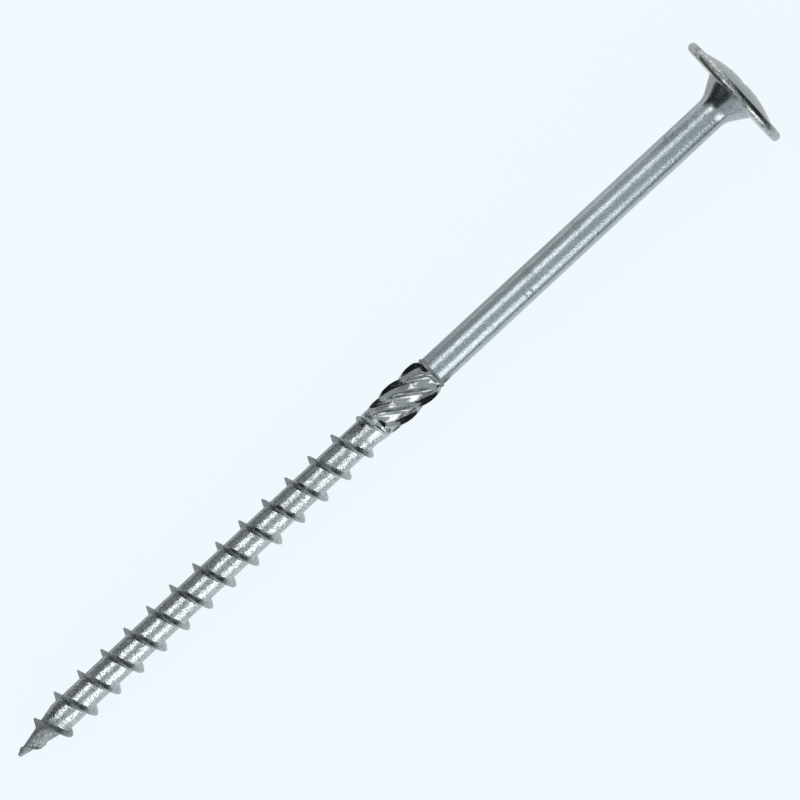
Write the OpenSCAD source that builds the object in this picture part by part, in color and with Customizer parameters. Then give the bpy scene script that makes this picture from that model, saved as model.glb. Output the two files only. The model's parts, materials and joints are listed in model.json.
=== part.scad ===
// Washer head timber screw, cold formed and thread rolled from one piece of wire.
// It lies as it comes to rest on a flat surface, on the edge of its washer and on its thread,
// with +X running from the point to the head and the origin under the middle of its length.

/* [Head] */
// Length from the point to the bearing face under the washer
screw_l = 160; // [120:1:240]
// Diameter of the washer that is one with the head
washer_d = 21.5; // [18:0.1:26]
// Thickness of the washer, whose edge is a full round
washer_t = 1.65; // [1.2:0.05:2.4]
// Diameter of the crown where it rises from the washer
crown_d = 16.2; // [13:0.1:18]
// Height of the crown over the washer, were it not for the drive socket
crown_h = 1.55; // [1:0.05:2.4]
// Diameter of the cone under the head where it meets the bearing face
cone_d = 10; // [8:0.1:12]
// Slope of that cone, measured from the axis
cone_angle = 32; // [25:1:45]
// Radius of the fillet that leads from the cone into the shank
cone_fillet = 3.6; // [1:0.1:5]

/* [Drive socket] */
// Diameter across the six lobes
drive_d = 6.75; // [5.6:0.05:8]
// Diameter across the bumps between the lobes
drive_core_d = 4.85; // [3.9:0.05:5.4]
// Width of each lobe at its end
drive_lobe_w = 0.95; // [0.6:0.05:1.4]
// Depth of the lobes below the top of the crown
drive_depth = 3.4; // [2.4:0.1:4.5]
// Depth of the punch's conical point below the lobes
drive_point = 0.9; // [0.4:0.1:1.5]

/* [Shank] */
// Diameter of the smooth shank
shank_d = 5.45; // [5:0.05:6.4]

/* [Reamer] */
// Length of the ribbed part
reamer_l = 11.6; // [8:0.1:18]
// Length of the plain collar between the end of the thread and the ribs
collar_l = 0.5; // [0.4:0.1:3]
// Height of the collar over the shank
collar_h = 0.1; // [0:0.02:0.2]
// Number of ribs
rib_count = 6; // [4:1:8]
// Height of the ribs over the shank
rib_h = 0.65; // [0.4:0.05:1]
// Width of the land along the top of each rib
rib_land = 0.32; // [0.2:0.02:0.6]
// Depth of the flutes between the ribs, below the shank
flute_depth = 0.22; // [0.1:0.02:0.5]
// Length over which a flute sinks from the collar, and over which it rises to the ring
flute_run = 0.7; // [0.4:0.1:1.4]
// Axial length of one full turn of a rib
rib_lead = 27.8; // [20:0.1:40]
// Length over which the ribs rise from the collar
rib_rise = 2.4; // [1:0.1:4]
// Length over which the ribs fall at their other end
rib_fall = 0.9; // [0.3:0.05:1]
// Height over the shank of the ring rolled up where the ribs end
ring_h = 0.24; // [0.14:0.02:0.4]
// Length of that ring
ring_l = 0.5; // [0.3:0.05:1]

/* [Thread] */
// Length from the point to the end of the thread's run-out
thread_l = 80.8; // [50:0.1:100]
// Diameter over the crests
thread_d = 7.7; // [7:0.1:9]
// Diameter of the core between the turns
core_d = 5.05; // [4.5:0.05:5.8]
// Axial length of one turn
pitch = 5.2; // [4:0.1:6.5]
// Width of the crest
crest_w = 0.1; // [0.1:0.02:0.4]
// Slope of the flank that faces the point, measured from a plane across the axis
lead_flank = 20; // [10:1:28]
// Slope of the flank that faces the head
load_flank = 16; // [8:1:24]
// Reach of the fillet at the foot of each flank
root_fillet = 0.24; // [0.1:0.02:0.4]
// Angle about the axis at which the straight part's helix, drawn on, would start at the tip
thread_turn = 283; // [0:1:359]
// Length over which the crest fades out towards the shank
run_out = 7.4; // [3:0.1:10]

/* [Point] */
// Length of the conical point
point_l = 9.6; // [7:0.1:14]
// Diameter of the blunt end of the point
point_d = 0.6; // [0.4:0.05:1]
// Length along the point in which the thread stays low
low_thread_l = 2.6; // [1:0.1:4]
// Length in which it then grows to its full height
run_in = 4.4; // [3:0.1:8]
// Distance by which rolling drew the crest on the conical point towards the tip
point_lean = 0.35; // [0:0.05:0.6]

/* [Hidden] */
zinc = [0.70, 0.73, 0.74];
// Facets to one turn of the thread, a multiple of four so that one crest point faces straight down
turn_steps = 36;
// Facets across one flute, along the ribs, along a flute's run at either end and along the cone's fillet
flute_steps = 8;
reamer_steps = 14;
run_steps = 3;
fillet_steps = 10;
$fn = 96;

shank_r = shank_d / 2;
core_r = core_d / 2;
washer_r = washer_d / 2;
edge_r = washer_t / 2;
washer_top = screw_l + washer_t;
head_top = washer_top + crown_h;
crown_r = (pow(crown_d / 2, 2) + pow(crown_h, 2)) / (2 * crown_h);
thread_h = (thread_d - core_d) / 2;
// Share of the thread's full height at the very point, and share at which the flank meets its fillet
low_share = 0.33;
fillet_share = 0.2;
reamer_start = thread_l + collar_l;
reamer_end = reamer_start + reamer_l;
rib_r = shank_r + rib_h;
flute_r = shank_r - flute_depth;
collar_r = shank_r + collar_h;
ring_r = shank_r + ring_h;
// How steeply a rib falls away to the round floor of the flute
rib_sharp = 3;
// Depth to which the ribbed part is seated in the collar and in the ring
reamer_seat = ring_l / 2;
// Radius of ribs and flutes as they leave the collar and as they enter the ring, just inside their edges
rib_foot_r = collar_r - flute_depth / 5;
rib_tail_r = ring_r - flute_depth / 5;

function clamp01(x) = min(1, max(0, x));
function ease(x) = let (t = clamp01(x)) t * t * (3 - 2 * t);
function blend(a, b, share) = a + (b - a) * share;

// Radius of the core at height z over the point: a cone, a straight run and a swell to the collar
function core_at(z) =
    z < point_l
    ? blend(point_d / 2, core_r, clamp01(z / point_l))
    : blend(core_r, collar_r, ease((z - thread_l) / (run_out / 3) + 1));

// Share of the thread's full height at height z
function thread_share(z) =
    blend(low_share, 1, ease((z - low_thread_l) / run_in))
    * (1 - pow(1 - clamp01((thread_l - z) / run_out), 2));

function crest_at(z) = core_at(z) + thread_h * thread_share(z);

// Section of the thread as [distance along the axis from the crest's middle, share of its height]
lead_run = thread_h * tan(lead_flank);
load_run = thread_h * tan(load_flank);
lead_foot = crest_w / 2 + lead_run + root_fillet;
load_foot = crest_w / 2 + load_run + root_fillet;
thread_section = [
    [-lead_foot, 0],
    [-crest_w / 2 - lead_run * (1 - fillet_share), fillet_share],
    [-crest_w / 2, 1],
    [crest_w / 2, 1],
    [crest_w / 2 + load_run * (1 - fillet_share), fillet_share],
    [load_foot, 0],
    [(load_foot + pitch - lead_foot) / 2, 0]
];
section_n = len(thread_section);

// The threaded length is one skin: columns stand at equal angles, and in each column the levels
// are the section's points, turn after turn, shifted along the axis as the helix climbs.
first_turn = -3;
level_n = section_n * (ceil(reamer_start / pitch) - first_turn + 3);
function crest_z(turns) =
    let (z = pitch * turns)
    z - point_lean * (1 - ease((z - point_l) / (pitch / 2)));
function level_z(column, level) =
    crest_z(first_turn + floor(level / section_n) + column / turn_steps + 1 - thread_turn / 360)
    + thread_section[level % section_n][0];
function level_share(level) = thread_section[level % section_n][1];
function skin_r(z, share) = core_at(z) + share * thread_h * thread_share(z);
function round_point(r, angle, z) = [r * cos(angle), r * sin(angle), z];

// Levels this close to an end of the skin are drawn onto that end
end_snap = pitch / turn_steps / 4;
function skin_index(column, level) =
    let (
        c = column % turn_steps,
        l = level + (column == turn_steps ? section_n : 0),
        z = level_z(c, l)
    )
    z < end_snap ? c
    : z > reamer_start - end_snap ? turn_steps + c
    : 2 * turn_steps + c * level_n + l;
function distinct(f) = f[0] != f[1] && f[1] != f[2] && f[2] != f[0];

module threaded_length() {
    column_angle = 360 / turn_steps;
    bottom_ring = [for (c = [0 : turn_steps - 1]) round_point(core_at(0), c * column_angle, 0)];
    top_ring = [
        for (c = [0 : turn_steps - 1])
        round_point(core_at(reamer_start), c * column_angle, reamer_start)
    ];
    grid = [
        for (c = [0 : turn_steps - 1], l = [0 : level_n - 1])
        let (z = level_z(c, l))
        round_point(skin_r(z, level_share(l)), c * column_angle, z)
    ];
    skin = [
        for (c = [0 : turn_steps - 1], l = [0 : level_n - section_n - 2])
        let (
            a = skin_index(c, l),
            b = skin_index(c + 1, l),
            d = skin_index(c + 1, l + 1),
            e = skin_index(c, l + 1)
        )
        each [[a, d, b], [a, e, d]]
    ];
    bottom_cap = [for (c = [0 : turn_steps - 1]) c];
    top_cap = [for (c = [turn_steps - 1 : -1 : 0]) turn_steps + c];
    polyhedron(
        points = concat(bottom_ring, top_ring, grid),
        faces = concat([for (f = skin) if (distinct(f)) f], [bottom_cap, top_cap])
    );
}

// Outer radius of the ribs at height z
function rib_at(z) =
    z < reamer_start + rib_rise
    ? blend(rib_foot_r, rib_r, (z - reamer_start) / rib_rise)
    : blend(rib_r, rib_tail_r, max(0, z - reamer_end + rib_fall) / rib_fall);

// Radius of the flutes' floor at height z
function floor_at(z) =
    z < reamer_start + reamer_l / 2
    ? blend(rib_foot_r, flute_r, ease((z - reamer_start) / flute_run))
    : blend(rib_tail_r, flute_r, ease((reamer_end - z) / flute_run));

// One ring of the ribbed part: each rib has a narrow land, and falls away to the flute's round floor
function reamer_ring(z) =
    let (
        rib_angle = 360 / rib_count,
        land_angle = rib_land / rib_r * 180 / PI,
        twist = 360 * (z - reamer_start) / rib_lead,
        floor_r = floor_at(z),
        land_r = max(rib_at(z), floor_r)
    )
    [
        for (rib = [0 : rib_count - 1], step = [0 : flute_steps])
        let (
            u = step / flute_steps,
            angle = twist + rib * rib_angle + land_angle / 2 + u * (rib_angle - land_angle)
        )
        round_point(blend(floor_r, land_r, pow(1 - sin(180 * u), rib_sharp)), angle, z)
    ];

module reamer() {
    heights = concat(
        [reamer_start - reamer_seat],
        [for (i = [0 : run_steps - 1]) reamer_start + flute_run * i / run_steps],
        [
            for (i = [0 : reamer_steps])
            blend(reamer_start + flute_run, reamer_end - flute_run, i / reamer_steps)
        ],
        [for (i = [run_steps - 1 : -1 : 0]) reamer_end - flute_run * i / run_steps],
        [reamer_end + reamer_seat]
    );
    ring_n = rib_count * (flute_steps + 1);
    last = len(heights) - 1;
    walls = [
        for (h = [0 : last - 1], i = [0 : ring_n - 1])
        let (
            j = (i + 1) % ring_n,
            low = h * ring_n,
            high = low + ring_n
        )
        each [[low + i, high + j, low + j], [low + i, high + i, high + j]]
    ];
    caps = [
        [for (i = [0 : ring_n - 1]) i],
        [for (i = [ring_n - 1 : -1 : 0]) last * ring_n + i]
    ];
    polyhedron(
        points = [for (z = heights) each reamer_ring(z)],
        faces = concat(walls, caps)
    );
}

// Half section of the ring, the shank, the fillet and the cone under the head
module shank_section() {
    cone_run = (cone_d / 2 - shank_r) / tan(cone_angle);
    fillet_end = screw_l - cone_run - cone_fillet * tan(cone_angle / 2);
    polygon(concat(
        [
            [0, reamer_end],
            [ring_r, reamer_end],
            [ring_r, reamer_end + ring_l],
            [shank_r, reamer_end + 2 * ring_l]
        ],
        [
            for (i = [0 : fillet_steps])
            let (a = cone_angle * i / fillet_steps)
            [shank_r + cone_fillet * (1 - cos(a)), fillet_end + cone_fillet * sin(a)]
        ],
        [
            [cone_d / 2, screw_l],
            [cone_d / 2, screw_l + edge_r],
            [0, screw_l + edge_r]
        ]
    ));
}

// Half section of the washer with its round edge, and of the crown
module head_section() {
    translate([0, screw_l]) square([washer_r - edge_r, washer_t]);
    translate([washer_r - edge_r, screw_l + edge_r]) circle(r = edge_r);
    intersection() {
        translate([0, head_top - crown_r]) circle(r = crown_r);
        translate([0, washer_top - edge_r]) square([crown_d / 2, edge_r + 2 * crown_h]);
    }
}

// Six-lobe socket: a round hole with six round bumps left standing in its wall
module drive_socket() {
    lobe_r = drive_d / 2;
    bump_tip = drive_core_d / 2;
    bump_angle = 30 - asin(drive_lobe_w / drive_d);
    bump_at = (pow(lobe_r, 2) - pow(bump_tip, 2)) / (2 * (lobe_r * cos(bump_angle) - bump_tip));
    translate([0, 0, head_top - drive_depth]) {
        linear_extrude(height = drive_depth + crown_h) difference() {
            circle(r = lobe_r);
            for (i = [0 : 5]) rotate(60 * i) translate([bump_at, 0]) circle(r = bump_at - bump_tip);
        }
        translate([0, 0, -drive_point])
        cylinder(r1 = drive_lobe_w / 2, r2 = bump_tip - drive_lobe_w / 4, h = 2 * drive_point);
    }
}

module shank_and_head() {
    difference() {
        rotate_extrude() union() {
            shank_section();
            head_section();
        }
        drive_socket();
    }
}

// Heights at which the crest faces the surface, and the tilt at which washer and crest both touch it
down_turn = (270 - thread_turn) / 360;
down_crests = [
    for (turn = [0 : ceil(thread_l / pitch)])
    let (z = crest_z(turn + down_turn))
    if (z > 0 && z < thread_l) z
];
function tilt_on(z) =
    let (
        rise = washer_r - edge_r - crest_at(z),
        run = screw_l + edge_r - z
    )
    atan2(rise, run) + asin(edge_r / norm([rise, run]));
rest_tilt = min([for (z = down_crests) tilt_on(z)]);
rest_height = (washer_r - edge_r) * cos(rest_tilt) + edge_r - (screw_l + edge_r) * sin(rest_tilt);

module screw() {
    color(zinc)
    translate([-head_top / 2 * cos(rest_tilt), 0, rest_height])
    rotate([0, -rest_tilt, 0])
    rotate([90, 0, 90]) {
        threaded_length();
        reamer();
        shank_and_head();
    }
}

screw();
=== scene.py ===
# Washer head timber screw in bright zinc, lying as it rests
import json
import math

import bpy
import numpy as np
from mathutils import Matrix, Vector, noise


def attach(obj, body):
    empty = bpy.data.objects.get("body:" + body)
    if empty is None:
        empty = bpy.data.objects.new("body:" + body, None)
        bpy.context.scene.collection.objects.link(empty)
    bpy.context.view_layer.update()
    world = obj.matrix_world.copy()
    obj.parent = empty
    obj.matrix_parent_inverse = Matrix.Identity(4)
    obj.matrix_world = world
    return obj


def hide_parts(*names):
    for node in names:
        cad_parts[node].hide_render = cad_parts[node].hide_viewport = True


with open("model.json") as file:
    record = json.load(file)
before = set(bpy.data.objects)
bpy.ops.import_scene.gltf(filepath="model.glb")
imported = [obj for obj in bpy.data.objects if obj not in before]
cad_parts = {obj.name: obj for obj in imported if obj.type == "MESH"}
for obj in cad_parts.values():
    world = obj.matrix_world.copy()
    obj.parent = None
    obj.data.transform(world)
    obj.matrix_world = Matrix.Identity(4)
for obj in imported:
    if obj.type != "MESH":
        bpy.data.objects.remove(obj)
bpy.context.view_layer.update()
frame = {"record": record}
mm = 0.001
mounts = {m["name"]: m for m in frame["record"]["mounts"]}
scene = bpy.context.scene
scene.view_settings.view_transform = "Standard"

# Sizes of the screw in mm and degrees, as in the solids

head = {
    "under": 160.0,  # from the tip to the bearing face
    "washerWide": 21.5,
    "washerThick": 1.65,
    "crownWide": 16.2,
    "crownHigh": 1.55,
    "coneWide": 10.0,
    "coneSlope": 32.0,
    "coneFillet": 3.6,
    "edgeWobble": 0.025,  # how far the pressed edge is from a true circle
    "edgeWaves": 0.22,  # per mm
    "edgeFineWaves": 1.1,
    "edgeInset": 1.6,  # wobbles that the edge is drawn in, so that it stays inside the solid's
    "edgeSlack": 0.02,  # rings this near a flat face take that face's finish
    "cornerIn": 0.03,  # the corner between cone and bearing face is slightly round
    "cornerUp": 0.05,
    "cornerOut": 0.06,
    "crownFootOut": 0.10,  # and so is the crown's foot
    "crownFootIn": 0.12,
    "crownStart": 0.4,  # inside the foot, where the crown's even rings start
    "socketSeat": 0.35,  # the crown's last ring stands this far outside the socket
    "steps": {"fillet": 15, "cone": 10, "face": 6, "edge": 19, "ledge": 4, "crown": 14},  # mesh rings
}
socket = {
    "wide": 2 * mounts["drive_socket"]["dims"]["r_mm"],
    "coreWide": 4.85,
    "lobeWide": 0.95,
    "lobes": 6,
    "deep": mounts["drive_socket"]["dims"]["length_mm"],
    "pointDeep": 0.9,
    "lipRound": 0.12,
    "lipShare": 0.3,  # share of the rounding at the lip's middle ring
    "floorRound": 0.12,
    "wallShares": (0.35, 0.6, 0.8, 0.96),  # depths of the rings down the wall
}
shank = {
    "wide": 5.45,
    "ringEvery": 0.2,
}
reamer = {
    "long": 11.6,
    "collar": 0.5,
    "collarHigh": 0.1,
    "ribs": 6,
    "ribHigh": 0.65,
    "ribLand": 0.32,
    "fluteDeep": 0.22,
    "ribLead": 27.8,
    "ribRise": 2.4,
    "ribFall": 0.9,
    "ringHigh": 0.24,
    "ringEvery": 0.2,
    "edgeRound": 0.03,
    "edgeSink": 0.02,
    "sink": 0.044,  # how far inside collar and ring the ribs and flutes start
    "fluteRun": 0.7,  # length over which a flute sinks from the collar and rises to the ring
    "ribSharp": 3.0,  # how fast a rib falls away to the flute's round floor
    "crowding": 1.4,  # how much the mesh crowds towards each rib's land
}
# The ring behind the reamer: height over the shank and distance from the reamer's end
ringProfile = [(0.19, 0), (0.24, 0.06), (0.23, 0.25), (0.168, 0.33), (0, 0.45), (0, 0.75)]
thread = {
    "long": mounts["thread"]["dims"]["length_mm"],
    "wide": 2 * mounts["thread"]["dims"]["r_mm"],
    "coreWide": 5.05,
    "pitch": 5.2,
    "crestWide": 0.1,
    "leadFlank": 20.0,
    "loadFlank": 16.0,
    "rootFillet": 0.24,
    "filletShare": 0.2,
    "crestShare": 0.88,  # height at which the flank starts to round into the crest
    "turn": 283.0,
    "runOut": 7.4,
    "tailShare": 0.2,  # height that the thread keeps to the very end of its run-out
    "tailEase": 20,  # and loses over the last twentieth
    "crestWobble": 0.05,  # unevenness of the rolled crest
    "crestWaves": 0.9,  # per mm
    "crestFineWaves": 3.1,
    "steps": {"fillet": 5, "flank": 5, "crest": 3, "root": 10},  # mesh lines across the section
}
point = {
    "long": 9.6,
    "wide": 0.6,
    "end": 0.01,  # height of the flat at the very tip
    "lowLong": 2.6,
    "lowShare": 0.33,
    "runIn": 4.4,
    "lean": 0.35,
    "bareLong": 1.7,  # the very end, before the thread shows
    "broad": 0.3,  # how much broader the thread's foot is at the point
    "dullLong": 8.2,  # the core is dull up to here
    "dullTurn": 10.4,  # and the thread's first turn up to here
    "raised": 0.12,  # what stands higher than this counts as thread
}
columns = 96  # mesh columns round the screw
sharpAngle = 42  # degrees at which the shading breaks

shankR = shank["wide"] / 2
coreR = thread["coreWide"] / 2
threadHigh = (thread["wide"] - thread["coreWide"]) / 2
reamerStart = thread["long"] + reamer["collar"]
reamerEnd = reamerStart + reamer["long"]
ringR = shankR + reamer["ringHigh"]
collarR = shankR + reamer["collarHigh"]
footR = collarR - reamer["sink"]
tailR = ringR - reamer["sink"]
washerTop = head["under"] + head["washerThick"]
headTop = washerTop + head["crownHigh"]


# Helpers for shader nodes


def nodeTree(owner):
    owner.use_nodes = True
    owner.node_tree.nodes.clear()
    return owner.node_tree


def mathNode(tree, operation, a, b=None):
    node = tree.nodes.new("ShaderNodeMath")
    node.operation = operation
    for i, value in enumerate((a, b)):
        if value is None:
            continue
        if isinstance(value, (int, float)):
            node.inputs[i].default_value = value
        else:
            tree.links.new(value, node.inputs[i])
    return node.outputs[0]


# Place of the screw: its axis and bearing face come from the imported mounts

axisDir = Vector(mounts["drive_socket"]["axis"]).normalized()
sideDir = Vector((0, 1, 0))
upDir = axisDir.cross(sideDir)
bearing = Vector(mounts["bearing_face"]["pos_m"])
tipPlace = bearing - sideDir * bearing.dot(sideDir) - axisDir * head["under"] * mm
screwPlace = Matrix.Translation(tipPlace) @ Matrix((sideDir, upDir, axisDir)).transposed().to_4x4()


# Camera straight above, turned so that the screw runs from the lower left to the upper right

camera = {
    "distance": 1200.0,
    "frameWide": 131.69,  # width of the picture at the screw's axis
    "turn": 42.88,
    "aimAlong": 86.17,  # the picture's middle, from the tip
    "aimAside": 0.252,
    "sensor": 36.0,
}


def makeCamera():
    data = bpy.data.cameras.new("camera")
    data.sensor_width = camera["sensor"]
    data.lens = camera["sensor"] * camera["distance"] / camera["frameWide"]
    obj = bpy.data.objects.new("camera", data)
    aim = screwPlace @ Vector((camera["aimAside"] * mm, 0, camera["aimAlong"] * mm))
    obj.location = aim + Vector((0, 0, camera["distance"] * mm))
    obj.rotation_euler = (0, 0, -math.radians(camera["turn"]))
    scene.collection.objects.link(obj)
    scene.camera = obj


# Studio: pale floor, grey room, strip softboxes along the screw, dark flags and light cards

studio = {
    "paleColour": (0.880, 0.948, 1.0),
    "floorWide": 8.0,  # m
    "floorGlow": 0.96,  # share of the floor's look that no shadow reaches
    "floorDiffuse": (0.80, 0.86, 0.92),
    "roomColour": (0.57, 0.62, 0.655),
}
# angle: degrees from straight up, positive towards the lower right of the picture; spans in mm
softboxes = {
    "upperStrip": {"angle": -25.5, "away": 420, "wide": 200, "from": -330, "to": -20, "glow": 1.75},
    "upperHeadStrip": {"angle": -27.5, "away": 420, "wide": 170, "from": -20, "to": 72, "glow": 1.5},
    "lowerStrip": {"angle": 58.5, "away": 420, "wide": 335, "from": -330, "to": -20, "glow": 1.75},
    "lowerHeadStrip": {"angle": 57.0, "away": 420, "wide": 210, "from": -20, "to": 52, "glow": 1.57},
}


def makeFloor():
    half = studio["floorWide"] / 2
    mesh = bpy.data.meshes.new("floor")
    corners = [(-half, -half, 0), (half, -half, 0), (half, half, 0), (-half, half, 0)]
    mesh.from_pydata(corners, [], [(0, 1, 2, 3)])
    floor = bpy.data.objects.new("floor", mesh)
    scene.collection.objects.link(floor)
    mat = bpy.data.materials.new("paleFloor")
    tree = nodeTree(mat)
    add = tree.nodes.new
    link = tree.links.new
    out = add("ShaderNodeOutputMaterial")
    blend = add("ShaderNodeMixShader")
    diffuse = add("ShaderNodeBsdfDiffuse")
    diffuse.inputs["Color"].default_value = (*studio["floorDiffuse"], 1)
    glow = add("ShaderNodeEmission")
    glow.inputs["Color"].default_value = (*studio["paleColour"], 1)
    path = add("ShaderNodeLightPath")
    seen = mathNode(tree, "MAXIMUM", path.outputs["Is Camera Ray"], path.outputs["Is Glossy Ray"])
    seen = mathNode(tree, "MAXIMUM", seen, path.outputs["Is Transmission Ray"])
    link(mathNode(tree, "MULTIPLY", seen, studio["floorGlow"]), blend.inputs["Fac"])
    link(diffuse.outputs[0], blend.inputs[1])
    link(glow.outputs[0], blend.inputs[2])
    link(blend.outputs[0], out.inputs["Surface"])
    mesh.materials.append(mat)


def makeRoom():
    world = bpy.data.worlds.new("greyRoom")
    scene.world = world
    tree = nodeTree(world)
    out = tree.nodes.new("ShaderNodeOutputWorld")
    air = tree.nodes.new("ShaderNodeBackground")
    air.inputs["Color"].default_value = (*studio["roomColour"], 1)
    tree.links.new(air.outputs[0], out.inputs["Surface"])


def makeSoftbox(name, box):
    data = bpy.data.lights.new(name, "AREA")
    data.shape = "RECTANGLE"
    data.size = (box["to"] - box["from"]) * mm
    data.size_y = box["wide"] * mm
    data.energy = box["glow"] * math.pi * data.size * data.size_y
    lamp = bpy.data.objects.new(name, data)
    angle = math.radians(box["angle"])
    away = box["away"] * mm
    middle = (box["from"] + box["to"]) / 2 * mm
    lamp.location = (middle, -away * math.sin(angle), away * math.cos(angle))
    lamp.rotation_euler = (angle, 0, 0)
    lamp.visible_camera = False
    scene.collection.objects.link(lamp)


# Flags and cards are seen in the metal only. An upright one stands on a line of points on the floor, or
# hangs over it from "low" up, and a flat one lies on the floor. Sizes in mm; shade is what the metal
# mirrors, 1 is white
flags = {
    "backFlag": {"line": [(-360, 150), (-90, 177)], "high": 180, "shade": 0.08},
    "backHeadFlag": {"line": [(-90, 177), (-3, 188)], "high": 180, "shade": 0.32},
    "backReamerCard": {"line": [(-3, 188), (15, 190)], "high": 180, "shade": 0.5},
    "backShankCard": {"line": [(15, 190), (34, 191)], "high": 140, "shade": 0.35, "warm": True},
    "backMidCard": {"line": [(34, 191), (54, 192)], "high": 140, "shade": 0.48, "warm": True},
    "backEndCard": {"line": [(54, 192), (80, 193)], "high": 140, "shade": 0.68, "warm": True},
    "reamerSideFlag": {"line": [(-6, 8), (-6, 42)], "high": 110, "shade": 0.02},
    "reamerSideCard": {"line": [(-6, 42), (-6, 130)], "high": 110, "shade": 0.4},
    "rimFlag": {"line": [(66, 4), (66, 60)], "low": 9, "high": 19, "shade": 0.02},
    "endFlag": {"line": [(-470, -60), (-360, 150)], "high": 420, "shade": 0.02},
    "headFlag": {"line": [(90, -480), (330, -330), (480, -120), (510, 50)], "high": 620, "shade": 0.03},
    "headSideCard": {"line": [(104, 13), (103, 22), (92, 37)], "high": 42, "shade": 1.3, "warm": True},
    "frontFlag": {"line": [(-8, -75), (130, -75)], "high": 12, "shade": 0.03},
}
# The flat flags close beside the screw and round the head (edge, near, lobe, reamerFront, crown, shank and
# shankEnd) are painted shadow: darker sheets that stand for the floor's shade next to the screw, seen in
# the metal only
floorFlags = {
    "edgeFloorFlag": {"from": -360, "to": -1, "near": 2, "far": 6.5, "shade": 0.4},
    "nearFloorFlag": {"from": -360, "to": -1, "near": 6.5, "far": 14, "shade": 0.7},
    "lobeFloorFlag": {"from": -79, "to": -1, "near": -6, "far": -1.5, "shade": 0.76},
    "reamerFrontFlag": {"from": 3.5, "to": 13, "near": -8, "far": -2, "shade": 0.04},
    "reamerMidFlag": {"from": 4, "to": 13, "near": -40, "far": -8, "shade": 0.25},
    "headFloorFlag": {"from": 105, "to": 330, "near": -160, "far": 8, "shade": 0.05},
    "crownFloorFlag": {"from": 82, "to": 105, "near": -18, "far": 18, "shade": 0.77},
    "shankFloorFlag": {"from": 15, "to": 42, "near": 2, "far": 40, "shade": 0.59, "warm": True},
    "shankEndFloorFlag": {"from": 42, "to": 76, "near": 2, "far": 22, "shade": 0.65, "warm": True},
    "farFloorFlag": {"from": -360, "to": -1, "near": 14, "far": 185, "shade": 0.2},
    "midFloorFlag": {"from": 1, "to": 15, "near": 2, "far": 185, "shade": 0.5},
}
flagTints = {"cool": (0.93, 1, 1.03), "warm": (1, 1, 1)}
overFloor = 0.2  # height of the flat ones


def makeFlag(name, points, faces, colour):
    mesh = bpy.data.meshes.new(name)
    mesh.from_pydata([tuple(v * mm for v in p) for p in points], [], faces)
    obj = bpy.data.objects.new(name, mesh)
    scene.collection.objects.link(obj)
    mat = bpy.data.materials.new(name)
    tree = nodeTree(mat)
    out = tree.nodes.new("ShaderNodeOutputMaterial")
    cloth = tree.nodes.new("ShaderNodeEmission")
    cloth.inputs["Color"].default_value = (*colour, 1)
    tree.links.new(cloth.outputs[0], out.inputs["Surface"])
    mesh.materials.append(mat)
    obj.visible_camera = False
    obj.visible_diffuse = False
    obj.visible_shadow = False
    obj.visible_transmission = False


def flagColour(flag):
    tint = flagTints["warm" if flag.get("warm") else "cool"]
    return [flag["shade"] * c for c in tint]


def makeFlags():
    for name, flag in flags.items():
        low = [(x, y, flag.get("low", 0)) for x, y in flag["line"]]
        high = [(x, y, flag["high"]) for x, y in flag["line"]]
        n = len(low)
        faces = [(i, i + 1, n + i + 1, n + i) for i in range(n - 1)]
        makeFlag(name, low + high, faces, flagColour(flag))
    for name, flag in floorFlags.items():
        near = [(flag["from"], flag["near"], overFloor), (flag["to"], flag["near"], overFloor)]
        far = [(flag["to"], flag["far"], overFloor), (flag["from"], flag["far"], overFloor)]
        makeFlag(name, near + far, [(0, 1, 2, 3)], flagColour(flag))


makeCamera()
makeFloor()
makeRoom()
for name, box in softboxes.items():
    makeSoftbox(name, box)
makeFlags()
print("studio ready")


# Shader groups that the zinc finishes share

skin = {
    "pitsFiner": 1.7,  # how much finer the pits are than the dimples
    "pitRamp": (0.58, 0.68),  # noise levels between which a pit deepens
    "cloudRamp": (0.38, 0.66),
}


def newGroup(name, inputs, outputs):
    group = bpy.data.node_groups.new(name, "ShaderNodeTree")
    for label, kind, value in inputs:
        item = group.interface.new_socket(name=label, in_out="INPUT", socket_type=kind)
        if value is not None:
            item.default_value = value
    for label, kind in outputs:
        group.interface.new_socket(name=label, in_out="OUTPUT", socket_type=kind)
    start = group.nodes.new("NodeGroupInput")
    end = group.nodes.new("NodeGroupOutput")
    return group, start, end


def noiseNode(tree, vector, scale, detail=2.0, rough=0.5):
    node = tree.nodes.new("ShaderNodeTexNoise")
    node.inputs["Detail"].default_value = detail
    node.inputs["Roughness"].default_value = rough
    tree.links.new(vector, node.inputs["Vector"])
    if isinstance(scale, (int, float)):
        node.inputs["Scale"].default_value = scale
    else:
        tree.links.new(scale, node.inputs["Scale"])
    return node


def rampNode(tree, factor, low, high):
    node = tree.nodes.new("ShaderNodeMapRange")
    node.interpolation_type = "SMOOTHSTEP"
    node.inputs["From Min"].default_value = low
    node.inputs["From Max"].default_value = high
    tree.links.new(factor, node.inputs["Value"])
    return node.outputs["Result"]


def mixColour(tree, factor, a, b):
    node = tree.nodes.new("ShaderNodeMix")
    node.data_type = "RGBA"
    tree.links.new(factor, node.inputs["Factor"])
    for socketName, value in (("A", a), ("B", b)):
        target = [s for s in node.inputs if s.name == socketName and s.type == "RGBA"][0]
        tree.links.new(value, target)
    return [s for s in node.outputs if s.type == "RGBA"][0]


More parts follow.
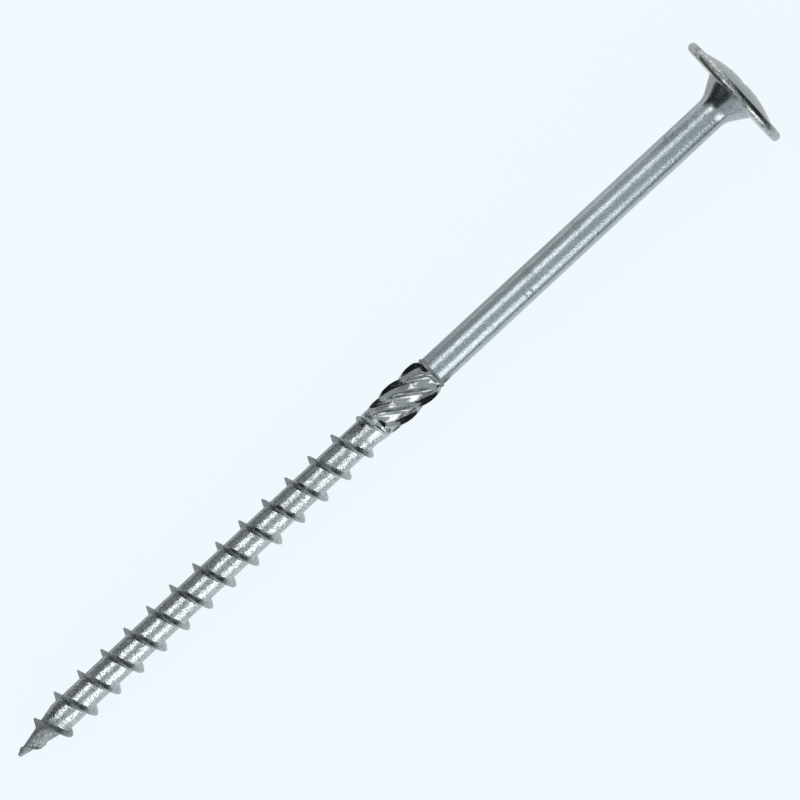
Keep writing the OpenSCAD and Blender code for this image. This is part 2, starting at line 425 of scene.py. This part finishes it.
# Stretched noise: marks that run along the screw or round it, depending on the two scales
def makeLayGroup():
    group, start, end = newGroup(
        "layMarks",
        [
            ("Vector", "NodeSocketVector", None),
            ("Along", "NodeSocketFloat", 300.0),
            ("Across", "NodeSocketFloat", 5000.0),
        ],
        [("Height", "NodeSocketFloat")],
    )
    size = group.nodes.new("ShaderNodeCombineXYZ")
    group.links.new(start.outputs["Across"], size.inputs[0])
    group.links.new(start.outputs["Across"], size.inputs[1])
    group.links.new(start.outputs["Along"], size.inputs[2])
    spread = group.nodes.new("ShaderNodeVectorMath")
    spread.operation = "MULTIPLY"
    group.links.new(start.outputs["Vector"], spread.inputs[0])
    group.links.new(size.outputs[0], spread.inputs[1])
    lines = noiseNode(group, spread.outputs[0], 1.0, detail=3.0, rough=0.6)
    group.links.new(lines.outputs["Fac"], end.inputs["Height"])
    return group


# Rolled skin: shallow dimples and a few sharp pits
def makeDimpleGroup():
    group, start, end = newGroup(
        "rolledDimples",
        [
            ("Vector", "NodeSocketVector", None),
            ("Scale", "NodeSocketFloat", 2500.0),
            ("Pits", "NodeSocketFloat", 0.5),
        ],
        [("Height", "NodeSocketFloat"), ("Pitted", "NodeSocketFloat")],
    )
    dimples = noiseNode(group, start.outputs["Vector"], start.outputs["Scale"], detail=3.0, rough=0.55)
    pitScale = mathNode(group, "MULTIPLY", start.outputs["Scale"], skin["pitsFiner"])
    pits = noiseNode(group, start.outputs["Vector"], pitScale, detail=1.0)
    pitted = rampNode(group, pits.outputs["Fac"], *skin["pitRamp"])
    pitDepth = mathNode(group, "MULTIPLY", pitted, start.outputs["Pits"])
    height = mathNode(group, "SUBTRACT", dimples.outputs["Fac"], pitDepth)
    group.links.new(height, end.inputs["Height"])
    group.links.new(pitted, end.inputs["Pitted"])
    return group


# Zinc's uneven tint: cloudy patches between two colours, with grain and darker specks
def makeTintGroup():
    group, start, end = newGroup(
        "zincTint",
        [
            ("Vector", "NodeSocketVector", None),
            ("Scale", "NodeSocketFloat", 160.0),
            ("Clean", "NodeSocketColor", (0.45, 0.48, 0.49, 1)),
            ("Cloud", "NodeSocketColor", (0.40, 0.43, 0.42, 1)),
            ("Speck", "NodeSocketColor", (0.12, 0.12, 0.12, 1)),
            ("Specks", "NodeSocketFloat", 0.0),
            ("Grain", "NodeSocketFloat", 0.5),
            ("Depth", "NodeSocketFloat", 0.0),
        ],
        [("Color", "NodeSocketColor")],
    )
    clouds = noiseNode(group, start.outputs["Vector"], start.outputs["Scale"], detail=4.0, rough=0.6)
    cloudy = rampNode(group, clouds.outputs["Fac"], *skin["cloudRamp"])
    tint = mixColour(group, cloudy, start.outputs["Clean"], start.outputs["Cloud"])
    tinted = mixColour(group, start.outputs["Specks"], tint, start.outputs["Speck"])
    offMean = mathNode(group, "SUBTRACT", start.outputs["Grain"], 0.5)
    grain = mathNode(group, "MULTIPLY", offMean, start.outputs["Depth"])
    grained = group.nodes.new("ShaderNodeHueSaturation")
    group.links.new(mathNode(group, "ADD", grain, 1.0), grained.inputs["Value"])
    group.links.new(tinted, grained.inputs["Color"])
    group.links.new(grained.outputs["Color"], end.inputs["Color"])
    return group


layGroup = makeLayGroup()
dimpleGroup = makeDimpleGroup()
tintGroup = makeTintGroup()


# One finish for each stretch of the screw; scales are per metre, bump in mm

finishes = {
    "pointZinc": {
        "clean": (0.40, 0.42, 0.42), "cloud": (0.31, 0.33, 0.33), "cloudScale": 500,
        "rough": 0.48, "roughSpread": 0.2,
        "along": 1500, "across": 2500, "layBump": 0.008,
        "dimples": 2000, "dimpleBump": 0.12, "pits": 0.6, "specks": 0.35,
        "grainAlong": 2600, "grainAcross": 2600, "grainDepth": 1.6,
    },
    "threadZinc": {
        "clean": (0.504, 0.53, 0.535), "cloud": (0.452, 0.483, 0.478), "cloudScale": 350,
        "rough": 0.14, "roughSpread": 0.10,
        "along": 3200, "across": 700, "layBump": 0.03,
        "dimples": 2600, "dimpleBump": 0.07, "pits": 0.5, "specks": 0.45,
        "grainAlong": 4000, "grainAcross": 2200, "grainDepth": 1.8,
    },
    "reamerZinc": {
        "clean": (0.46, 0.48, 0.485), "cloud": (0.40, 0.42, 0.41), "cloudScale": 600,
        "rough": 0.13, "roughSpread": 0.08,
        "along": 500, "across": 2200, "layBump": 0.02,
        "dimples": 1800, "dimpleBump": 0.035, "pits": 0.2, "specks": 0.15,
        "grainAlong": 2400, "grainAcross": 2400, "grainDepth": 0.7,
    },
    "shankZinc": {
        "clean": (0.447, 0.492, 0.512), "cloud": (0.41, 0.462, 0.478), "cloudScale": 240,
        "rough": 0.22, "roughSpread": 0.08,
        "along": 700, "across": 4200, "layBump": 0.022,
        "dimples": 2600, "dimpleBump": 0.03, "pits": 0.2, "specks": 0.12,
        "grainAlong": 3400, "grainAcross": 4200, "grainDepth": 1.3,
    },
    "coneZinc": {
        "clean": (0.425, 0.460, 0.472), "cloud": (0.385, 0.418, 0.428), "cloudScale": 300,
        "rough": 0.24, "roughSpread": 0.10,
        "along": 1200, "across": 1200, "layBump": 0.01,
        "dimples": 1800, "dimpleBump": 0.015, "pits": 0.3, "specks": 0.2,
        "grainAlong": 2200, "grainAcross": 2200, "grainDepth": 0.7,
    },
    "headZinc": {
        "clean": (0.40, 0.415, 0.41), "cloud": (0.36, 0.38, 0.365), "cloudScale": 300,
        "rough": 0.25, "roughSpread": 0.10,
        "along": 1200, "across": 1200, "layBump": 0.01,
        "dimples": 1800, "dimpleBump": 0.012, "pits": 0.3, "specks": 0.2,
        "grainAlong": 1800, "grainAcross": 1800, "grainDepth": 0.5,
    },
    # The rim's dark cloud and dense specks are partly uneven, worn zinc and partly painted reflection:
    # darkness that the rough rim would mirror, painted into its colour
    "rimZinc": {
        "clean": (0.46, 0.48, 0.465), "cloud": (0.25, 0.27, 0.26), "cloudScale": 1000,
        "rough": 0.27, "roughSpread": 0.16,
        "along": 1200, "across": 1200, "layBump": 0.02,
        "dimples": 1500, "dimpleBump": 0.05, "pits": 0.4, "specks": 0.5,
        "grainAlong": 2600, "grainAcross": 2600, "grainDepth": 1.9,
    },
}
speckColour = (0.10, 0.10, 0.10)
scratches = {
    "scale": 4200.0,
    "ramp": (0.45, 0.6),
    "bump": 0.012,
    "rough": 0.2,
}
crestPolish = 0.4  # share of its roughness that the thread's crest loses


def makeZinc(name, f):
    mat = bpy.data.materials.new(name)
    tree = nodeTree(mat)
    add = tree.nodes.new
    link = tree.links.new
    out = add("ShaderNodeOutputMaterial")
    shader = add("ShaderNodeBsdfPrincipled")
    shader.inputs["Metallic"].default_value = 1.0
    link(shader.outputs[0], out.inputs["Surface"])
    ownAxes = add("ShaderNodeAttribute")  # place in the screw's own axes, which lie tilted in the frame
    ownAxes.attribute_name = "alongScrew"
    place = ownAxes.outputs["Vector"]
    scuff = add("ShaderNodeAttribute")
    scuff.attribute_name = "scuff"

    lay = add("ShaderNodeGroup")
    lay.node_tree = layGroup
    lay.inputs["Along"].default_value = f["along"]
    lay.inputs["Across"].default_value = f["across"]
    link(place, lay.inputs["Vector"])
    dimples = add("ShaderNodeGroup")
    dimples.node_tree = dimpleGroup
    dimples.inputs["Scale"].default_value = f["dimples"]
    dimples.inputs["Pits"].default_value = f["pits"]
    link(place, dimples.inputs["Vector"])

    # fine broken marks inside the scuffed patches
    broken = noiseNode(tree, place, scratches["scale"], detail=1.0)
    scratch = rampNode(tree, broken.outputs["Fac"], *scratches["ramp"])
    scuffed = mathNode(tree, "MULTIPLY", scuff.outputs["Fac"], scratch)

    grain = add("ShaderNodeGroup")
    grain.node_tree = layGroup
    grain.inputs["Along"].default_value = f["grainAlong"]
    grain.inputs["Across"].default_value = f["grainAcross"]
    link(place, grain.inputs["Vector"])
    tint = add("ShaderNodeGroup")
    tint.node_tree = tintGroup
    tint.inputs["Depth"].default_value = f["grainDepth"]
    link(grain.outputs["Height"], tint.inputs["Grain"])
    tint.inputs["Scale"].default_value = f["cloudScale"]
    tint.inputs["Clean"].default_value = (*f["clean"], 1)
    tint.inputs["Cloud"].default_value = (*f["cloud"], 1)
    tint.inputs["Speck"].default_value = (*speckColour, 1)
    link(place, tint.inputs["Vector"])
    specks = mathNode(tree, "MULTIPLY", dimples.outputs["Pitted"], f["specks"])
    link(mathNode(tree, "MAXIMUM", specks, scuffed), tint.inputs["Specks"])
    link(tint.outputs["Color"], shader.inputs["Base Color"])

    crest = add("ShaderNodeAttribute")
    crest.attribute_name = "crest"
    uneven = mathNode(tree, "MULTIPLY", lay.outputs["Height"], f["roughSpread"])
    worn = mathNode(tree, "MULTIPLY", crest.outputs["Fac"], -crestPolish * f["rough"])
    rough = mathNode(tree, "ADD", mathNode(tree, "ADD", uneven, worn), f["rough"] - f["roughSpread"] / 2)
    rougher = mathNode(tree, "MULTIPLY", scuffed, scratches["rough"])
    link(mathNode(tree, "ADD", rough, rougher), shader.inputs["Roughness"])

    layHeight = mathNode(tree, "MULTIPLY", lay.outputs["Height"], f["layBump"] * mm)
    dimpleHeight = mathNode(tree, "MULTIPLY", dimples.outputs["Height"], f["dimpleBump"] * mm)
    scuffHeight = mathNode(tree, "MULTIPLY", scuffed, -scratches["bump"] * mm)
    height = mathNode(tree, "ADD", mathNode(tree, "ADD", layHeight, dimpleHeight), scuffHeight)
    bump = add("ShaderNodeBump")
    bump.inputs["Distance"].default_value = 1.0  # the heights are in metres
    link(height, bump.inputs["Height"])
    link(bump.outputs["Normal"], shader.inputs["Normal"])
    return mat


zincs = {name: makeZinc(name, values) for name, values in finishes.items()}
zincOrder = list(zincs)
print("finishes ready:", ", ".join(zincOrder))


# Mesh of the screw, in its own frame: the tip at the origin and z along the axis


def easeStep(x):
    t = np.clip(x, 0, 1)
    return t * t * (3 - 2 * t)


def between(a, b, share):
    return a + (b - a) * share


# Core: a cone at the point, and a swell up to the collar over the last third of the run-out
def coreAt(z):
    cone = between(point["wide"] / 2, coreR, np.clip(z / point["long"], 0, 1))
    swell = between(coreR, collarR, easeStep((z - thread["long"]) / (thread["runOut"] / 3) + 1))
    return np.where(z < point["long"], cone, swell)


# Share of the thread's full height: low at the point, fading out at the collar
def threadShare(z):
    grown = between(point["lowShare"], 1, easeStep((z - point["lowLong"]) / point["runIn"]))
    left = np.clip((thread["long"] - z) / thread["runOut"], 0, 1)
    faded = np.maximum(1 - (1 - left) ** 2, thread["tailShare"] * easeStep(left * thread["tailEase"]))
    return grown * faded * easeStep(z / point["bareLong"])


# Curve from a to b that rounds the corner, without its last point
def bend(a, corner, b, steps):
    t = np.linspace(0, 1, steps + 1)[:-1, None]
    return (1 - t) ** 2 * np.array(a) + 2 * t * (1 - t) * np.array(corner) + t ** 2 * np.array(b)


# Half of the thread's section, from the foot to the crest: distance along the axis and share of the height
def halfSection(flank):
    run = threadHigh * math.tan(math.radians(flank))
    edge = thread["crestWide"] / 2

    def onFlank(share):
        return (edge + run * (1 - share), share)

    foot = (edge + run + thread["rootFillet"], 0)
    low = onFlank(thread["filletShare"])
    high = onFlank(thread["crestShare"])
    steps = thread["steps"]
    fillet = bend(foot, (edge + run, 0), low, steps["fillet"])
    straight = [onFlank(s) for s in np.linspace(low[1], high[1], steps["flank"])[:-1]]
    crest = bend(high, (edge, 1), (0, 1), steps["crest"])
    return np.vstack([fillet, straight, crest])


def threadSection():
    lead = halfSection(thread["leadFlank"]) * (-1, 1)
    load = halfSection(thread["loadFlank"])[::-1]
    root = np.linspace(load[-1, 0], thread["pitch"] + lead[0, 0], thread["steps"]["root"])[1:-1]
    return np.vstack([lead, [(0, 1)], load, np.column_stack([root, root * 0])])


# Damage on the thread: places along the axis in mm and round it in degrees (0 is the picture's upper left)
crestNicks = [
    {"along": 22.2, "round": 2, "deep": 0.34, "reach": 12},
    {"along": 27.4, "round": -3, "deep": 0.42, "reach": 14},
    {"along": 12.1, "round": 62, "deep": 0.45, "reach": 10},
    {"along": 17.1, "round": 58, "deep": 0.4, "reach": 12},
    {"along": 43.0, "round": 20, "deep": 0.16, "reach": 9},
    {"along": 53.0, "round": 190, "deep": 0.14, "reach": 8},
]
nickWaves = {"share": 0.4, "count": 11}  # how ragged the floor of a nick is
tipFlake = {"along": 3.75, "round": 184, "high": 0.40, "long": 1.0, "reach": 24}


def turnFrom(angle, centre):
    return (angle - centre + 180) % 360 - 180


def threadDamage(angle, z, share):
    out = np.zeros_like(z)
    for nick in crestNicks:
        near = np.abs(z - nick["along"]) < thread["pitch"] / 3
        across = turnFrom(angle, nick["round"]) / nick["reach"]
        ragged = 1 - nickWaves["share"] + nickWaves["share"] * np.cos(across * nickWaves["count"])
        out -= near * share * nick["deep"] * np.exp(-across ** 4) * ragged
    return out


# A folded flake of steel beside the point
def flakeRadius(angle, z):
    along = (z - tipFlake["along"]) / tipFlake["long"]
    across = turnFrom(angle, tipFlake["round"]) / tipFlake["reach"]
    return coreAt(z) + tipFlake["high"] * np.exp(-along ** 6) * np.exp(-across ** 4)


def wobble(points, scale, amount):
    return np.array([noise.noise(Vector(p) * scale) for p in points]) * amount


verts = []  # one array of points per call of addPoints
faces = []
faceZinc = []
crestMask = []
pointCount = 0


def addPoints(points, crest=None):
    global pointCount
    first = pointCount
    verts.append(points)
    crestMask.append(np.zeros(len(points)) if crest is None else crest)
    pointCount += len(points)
    return first


def addFaces(quads, zinc):
    for quad in quads:
        corners = list(dict.fromkeys(int(i) for i in quad))
        if len(corners) > 2:
            faces.append(corners)
            faceZinc.append(zinc)


def roundPoints(radius, angle, z):
    a = np.radians(angle)
    x, y, z = np.broadcast_arrays(radius * np.cos(a), radius * np.sin(a), z)
    return np.column_stack([x, y, z])


def addThread():
    section = threadSection()
    n = len(section)
    spareTurns = 3  # turns past each end, which are cut off below
    levels = n * (math.ceil(reamerStart / thread["pitch"]) + 2 * spareTurns)
    c, level = np.meshgrid(np.arange(columns), np.arange(levels), indexing="ij")
    crestZ = thread["pitch"] * (level // n - spareTurns + c / columns + 1 - thread["turn"] / 360)
    crestZ = crestZ - point["lean"] * (1 - easeStep((crestZ - point["long"]) / (thread["pitch"] / 2)))
    share = section[level % n, 1]
    broad = 1 + point["broad"] * (1 - easeStep((crestZ - point["long"]) / thread["pitch"])) * (1 - share)
    reach = section[level % n, 0]
    onRidge = np.abs(reach) < thread["pitch"] / 6  # the root between the turns keeps its place
    z = crestZ + np.where(onRidge, reach * broad, reach)
    angle = c * 360 / columns
    radius = coreAt(z) + threadHigh * threadShare(z) * share
    flat = roundPoints(radius.ravel(), angle.ravel(), z.ravel())
    uneven = wobble(flat, thread["crestWaves"], thread["crestWobble"])
    uneven = uneven + wobble(flat, thread["crestFineWaves"], thread["crestWobble"] / 2)
    radius = radius + uneven.reshape(z.shape) * share ** 2 * np.clip(z / point["long"], 0, 1)
    radius = np.maximum(radius + threadDamage(angle, z, share), flakeRadius(angle, z))

    ringAngle = np.arange(columns) * 360 / columns
    low = addPoints(roundPoints(coreAt(np.zeros(columns)), ringAngle, point["end"]))
    top = addPoints(roundPoints(coreAt(np.full(columns, reamerStart)), ringAngle, reamerStart))
    polished = share ** 3 * threadShare(z)
    grid = addPoints(roundPoints(radius.ravel(), angle.ravel(), z.ravel()), polished.ravel())
    index = grid + c * levels + level
    snap = thread["pitch"] / columns / 4  # points this near an end join its ring
    index = np.where(z < snap, low + c, index)
    index = np.where(z > reamerStart - snap, top + c, index)
    # the last column meets the first one turn further on
    wrapped = np.roll(index[:1], -n, axis=1)
    full = np.vstack([index, wrapped])[:, : levels - n]
    corners = [full[:-1, :-1], full[1:, :-1], full[1:, 1:], full[:-1, 1:]]
    quads = np.stack(corners, axis=-1).reshape(-1, 4)
    used = np.array([len(set(q)) > 2 for q in quads.tolist()])
    quads = quads[used]
    x, y, along = np.vstack(verts)[quads].mean(axis=1).T
    raised = np.hypot(x, y) - coreAt(along) > point["raised"]
    onPoint = (along < point["dullLong"]) | raised & (along < point["dullTurn"])
    addFaces(quads[onPoint], zincOrder.index("pointZinc"))
    addFaces(quads[~onPoint], zincOrder.index("threadZinc"))
    addCap(low, point["end"], zincOrder.index("pointZinc"), facingDown=True)
    return top


def addCap(ring, z, zinc, facingDown):
    centre = addPoints(np.array([[0.0, 0.0, z]]))
    for i in range(columns):
        j = (i + 1) % columns
        corners = (ring + j, ring + i, centre) if facingDown else (ring + i, ring + j, centre)
        addFaces([corners], zinc)


def joinRings(a, b, zinc):
    i = np.arange(columns)
    j = (i + 1) % columns
    addFaces(np.column_stack([a + i, a + j, b + j, b + i]), zinc)


# Column angles: even on the thread and head, crowded to the lands on the reamer
def columnAngles(crowd):
    period = 360 / reamer["ribs"]
    half = columns // reamer["ribs"] // 2
    step = np.arange(columns)
    inRib = (step + half) % (2 * half) - half
    rib = (step + half) // (2 * half)
    even = inRib / half
    crowded = np.sign(even) * np.abs(even) ** reamer["crowding"]
    return rib * period + between(even, crowded, crowd) * period / 2


def ribAt(z):
    top = shankR + reamer["ribHigh"]
    if z < reamerStart + reamer["ribRise"]:
        return between(footR, top, (z - reamerStart) / reamer["ribRise"])
    return between(top, tailR, max(0, z - reamerEnd + reamer["ribFall"]) / reamer["ribFall"])


def reamerRadius(z, angles):
    period = 360 / reamer["ribs"]
    land = math.degrees(reamer["ribLand"] / (shankR + reamer["ribHigh"]))
    fromLand = np.abs(turnFrom(angles * reamer["ribs"], 0)) / reamer["ribs"]
    u = np.clip((fromLand - land / 2) / (period - land), 0, 1)
    sunk = easeStep((z - reamerStart) / reamer["fluteRun"])
    risen = easeStep((z - reamerEnd) / reamer["fluteRun"] + 1)
    floor = between(between(footR, shankR - reamer["fluteDeep"], sunk), tailR, risen)
    fall = 1 - (1 - np.sin(math.pi * u)) ** reamer["ribSharp"]
    return between(np.maximum(ribAt(z), floor), floor, fall)


def twistAt(z):
    return 360 * (z - reamerStart) / reamer["ribLead"]


def addReamer(ring):
    zinc = zincOrder.index("reamerZinc")
    plain = columnAngles(0)
    ribbed = columnAngles(1)
    collarEdge = np.full(columns, collarR - reamer["edgeSink"])
    collar = addPoints(roundPoints(collarEdge, plain, reamerStart + reamer["edgeRound"]))
    joinRings(ring, collar, zinc)
    ring = collar
    start = reamerStart + 2 * reamer["edgeRound"]
    runs = math.ceil((reamerEnd - start) / reamer["ringEvery"])
    for z in np.linspace(start, reamerEnd, runs + 1):
        crowd = easeStep((z - reamerStart) / reamer["collar"])
        angles = between(plain, ribbed, crowd)
        nextRing = addPoints(roundPoints(reamerRadius(z, angles), angles + twistAt(z), z))
        joinRings(ring, nextRing, zinc)
        ring = nextRing
    return ring


def addShank(ring):
    zinc = zincOrder.index("shankZinc")
    dull = zincOrder.index("pointZinc")  # the ring was never rolled smooth
    coneRun = (head["coneWide"] / 2 - shankR) / math.tan(math.radians(head["coneSlope"]))
    filletEnd = head["under"] - coneRun - head["coneFillet"] * math.tan(math.radians(head["coneSlope"] / 2))
    lobeTurn = 360 / socket["lobes"]  # columns turn on until they meet the socket's lobes
    turnEnd = lobeTurn * math.ceil(twistAt(reamerEnd) / lobeTurn)
    profile = [(shankR + high, reamerEnd + z) for high, z in ringProfile]
    start = profile[-1][1]
    runs = math.ceil((filletEnd - start) / shank["ringEvery"])
    profile += [(shankR, z) for z in np.linspace(start, filletEnd, runs + 1)[1:]]
    for radius, z in profile:
        share = (z - reamerEnd) / (filletEnd - reamerEnd)
        # the columns even out over the first half of the shank
        angles = columnAngles(1 - easeStep(share * 2)) + between(twistAt(reamerEnd), turnEnd, share)
        nextRing = addPoints(roundPoints(np.full(columns, radius), angles, z))
        joinRings(ring, nextRing, dull if z <= start else zinc)
        ring = nextRing
    return ring, filletEnd, turnEnd


# Head, from the fillet over the cone, bearing face, round edge and crown into the socket
def headProfile(filletEnd):
    slope = math.radians(head["coneSlope"])
    fillet = head["coneFillet"]
    edgeR = head["washerThick"] / 2
    washerR = head["washerWide"] / 2
    crownR = ((head["crownWide"] / 2) ** 2 + head["crownHigh"] ** 2) / (2 * head["crownHigh"])
    steps = head["steps"]
    lines = []
    for a in np.linspace(0, slope, steps["fillet"])[1:]:
        lines.append((shankR + fillet * (1 - math.cos(a)), filletEnd + fillet * math.sin(a)))
    foot = lines[-1]
    corner = (head["coneWide"] / 2, head["under"])
    for s in np.linspace(0, 1, steps["cone"])[1:-1]:
        lines.append((between(foot[0], corner[0], s), between(foot[1], corner[1], s)))
    lines.append((corner[0] - head["cornerIn"], corner[1] - head["cornerUp"]))
    lines.append((corner[0] + head["cornerOut"], corner[1]))
    for s in np.linspace(0, 1, steps["face"])[1:]:
        lines.append((between(corner[0], washerR - edgeR, s), head["under"]))
    for a in np.linspace(0, math.pi, steps["edge"])[1:]:
        radius = washerR - edgeR + edgeR * math.sin(a)
        lines.append((radius, head["under"] + edgeR - edgeR * math.cos(a)))
    crownFoot = head["crownWide"] / 2
    for s in np.linspace(0, 1, steps["ledge"])[1:-1]:
        lines.append((between(washerR - edgeR, crownFoot, s), washerTop))
    lines.append((crownFoot + head["crownFootOut"], washerTop))
    crownEdge = crownFoot - head["crownFootIn"]
    crownFrom = crownFoot - head["crownStart"]
    crownTo = socket["wide"] / 2 + head["socketSeat"]
    for r in [crownEdge, *np.linspace(crownFrom, crownTo, steps["crown"])]:
        lines.append((r, crownHeight(r, crownR)))
    return lines, crownR


def crownHeight(r, crownR):
    return headTop - crownR + np.sqrt(crownR ** 2 - r ** 2)


# Outline of the six-lobe socket: a circle with six round bumps standing in it
def lobeRadius(angles):
    lobeR = socket["wide"] / 2
    bumpTip = socket["coreWide"] / 2
    lobes = socket["lobes"]
    bumpAngle = math.radians(180 / lobes) - math.asin(socket["lobeWide"] / socket["wide"])
    bumpAt = (lobeR ** 2 - bumpTip ** 2) / (2 * (lobeR * math.cos(bumpAngle) - bumpTip))
    bumpR = bumpAt - bumpTip
    off = np.radians(turnFrom(angles * lobes, 0) / lobes)
    root = bumpR ** 2 - (bumpAt * np.sin(off)) ** 2
    onBump = bumpAt * np.cos(off) - np.sqrt(np.maximum(root, 0))
    return np.where(root > 0, np.minimum(onBump, lobeR), lobeR)


def addHead(ring, filletEnd, turnEnd):
    zinc = zincOrder.index("headZinc")
    edgeFrom = (head["washerWide"] - head["washerThick"]) / 2 + head["edgeSlack"]
    angles = columnAngles(0) + turnEnd
    profile, crownR = headProfile(filletEnd)
    for radius, z in profile:
        radii = np.full(columns, radius)
        grown = max(0, radius - head["coneWide"] / 2) / (head["washerWide"] - head["coneWide"]) * 2
        rim = roundPoints(radii, angles, z)
        uneven = wobble(rim, head["edgeWaves"], head["edgeWobble"])
        uneven = uneven + wobble(rim, head["edgeFineWaves"], head["edgeWobble"] / 2)
        radii = radii + grown * (uneven - head["edgeInset"] * head["edgeWobble"])
        nextRing = addPoints(roundPoints(radii, angles, z))
        onCone = z < head["under"] + head["edgeSlack"] and radius < edgeFrom
        finish = "coneZinc" if onCone else "rimZinc" if radius > edgeFrom else "headZinc"
        joinRings(ring, nextRing, zincOrder.index(finish))
        ring = nextRing
    outline = lobeRadius(angles)
    lip = socket["lipRound"]
    bottom = headTop - socket["deep"]
    pointR = socket["lobeWide"] / 2
    coneR = between(pointR, socket["coreWide"] / 2 - pointR / 2, 0.5)  # where the conical bottom starts
    rings = [(outline + lip, crownHeight(outline + lip, crownR))]
    midLip = lip * socket["lipShare"]
    rings += [(outline + midLip, crownHeight(outline, crownR) - midLip)]
    rings += [(outline, crownHeight(outline, crownR) - lip)]
    rings += [(outline, between(headTop, bottom, s)) for s in socket["wallShares"]]
    rings += [(outline - socket["floorRound"], bottom), (np.full(columns, coneR), bottom)]
    rings += [(np.full(columns, pointR), bottom - socket["pointDeep"])]
    for radii, z in rings:
        nextRing = addPoints(roundPoints(radii, angles, z))
        joinRings(ring, nextRing, zinc)
        ring = nextRing
    addCap(ring, bottom - socket["pointDeep"], zinc, facingDown=False)


# Scuffs on the shank and cone: places along the axis in mm, round it in degrees (90 is up), and their reach
scuffs = [
    {"along": 113.2, "round": 118, "long": 0.22, "reach": 14, "depth": 1.0},
    {"along": 114.4, "round": 118, "long": 0.22, "reach": 14, "depth": 1.0},
    {"along": 113.9, "round": 134, "long": 1.0, "reach": 5, "depth": 1.0},
    {"along": 115.9, "round": 66, "long": 1.1, "reach": 26, "depth": 0.7},
    {"along": 119.9, "round": 58, "long": 0.6, "reach": 20, "depth": 0.35},
    {"along": 126.8, "round": 55, "long": 0.9, "reach": 24, "depth": 0.7},
    {"along": 150.9, "round": 60, "long": 0.8, "reach": 14, "depth": 0.8},
    {"along": 153.4, "round": 62, "long": 0.5, "reach": 14, "depth": 0.6},
    {"along": 104.6, "round": 98, "long": 0.35, "reach": 6, "depth": 0.5},
    {"along": 156.4, "round": 110, "long": 0.4, "reach": 8, "depth": 0.9},
    {"along": 157.5, "round": 113, "long": 0.45, "reach": 10, "depth": 1.0},
    {"along": 158.6, "round": 114, "long": 0.45, "reach": 10, "depth": 1.0},
]


def scuffMask(points):
    angle = np.degrees(np.arctan2(points[:, 1], points[:, 0]))
    out = np.zeros(len(points))
    for s in scuffs:
        along = (points[:, 2] - s["along"]) / s["long"]
        across = turnFrom(angle, s["round"]) / s["reach"]
        out = np.maximum(out, s["depth"] * np.exp(-along ** 2 - across ** 2))
    return out


def makeScrew():
    ring = addThread()
    ring = addReamer(ring)
    ring, filletEnd, turnEnd = addShank(ring)
    addHead(ring, filletEnd, turnEnd)
    points = np.vstack(verts)
    crest = np.concatenate(crestMask)
    used = np.unique([i for f in faces for i in f])
    renumber = np.full(len(points), -1)
    renumber[used] = np.arange(len(used))
    points = points[used]
    mesh = bpy.data.meshes.new("screw")
    turned = np.array(screwPlace.to_3x3())
    placed = points * mm @ turned.T + np.array(screwPlace.translation)
    mesh.from_pydata(placed.tolist(), [], [[int(renumber[i]) for i in f] for f in faces])
    mesh.polygons.foreach_set("material_index", np.array(faceZinc, dtype=np.int32))
    mesh.polygons.foreach_set("use_smooth", np.ones(len(faces), dtype=bool))
    for name, values in (("crest", crest[used]), ("scuff", scuffMask(points))):
        layer = mesh.attributes.new(name, "FLOAT", "POINT")
        layer.data.foreach_set("value", values.astype(np.float32))
    along = mesh.attributes.new("alongScrew", "FLOAT_VECTOR", "POINT")
    along.data.foreach_set("vector", (points * mm).astype(np.float32).ravel())
    for zinc in zincs.values():
        mesh.materials.append(zinc)
    mesh.validate()
    mesh.update()
    mesh.set_sharp_from_angle(angle=math.radians(sharpAngle))
    obj = bpy.data.objects.new("rolled_screw", mesh)
    scene.collection.objects.link(obj)
    triangles = sum(len(p.vertices) - 2 for p in mesh.polygons)
    print("screw mesh:", len(points), "points,", triangles, "triangles")
    return obj


screw = makeScrew()
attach(screw, "root")
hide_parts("screw")
print("screw in place")

bpy.context.view_layer.update()
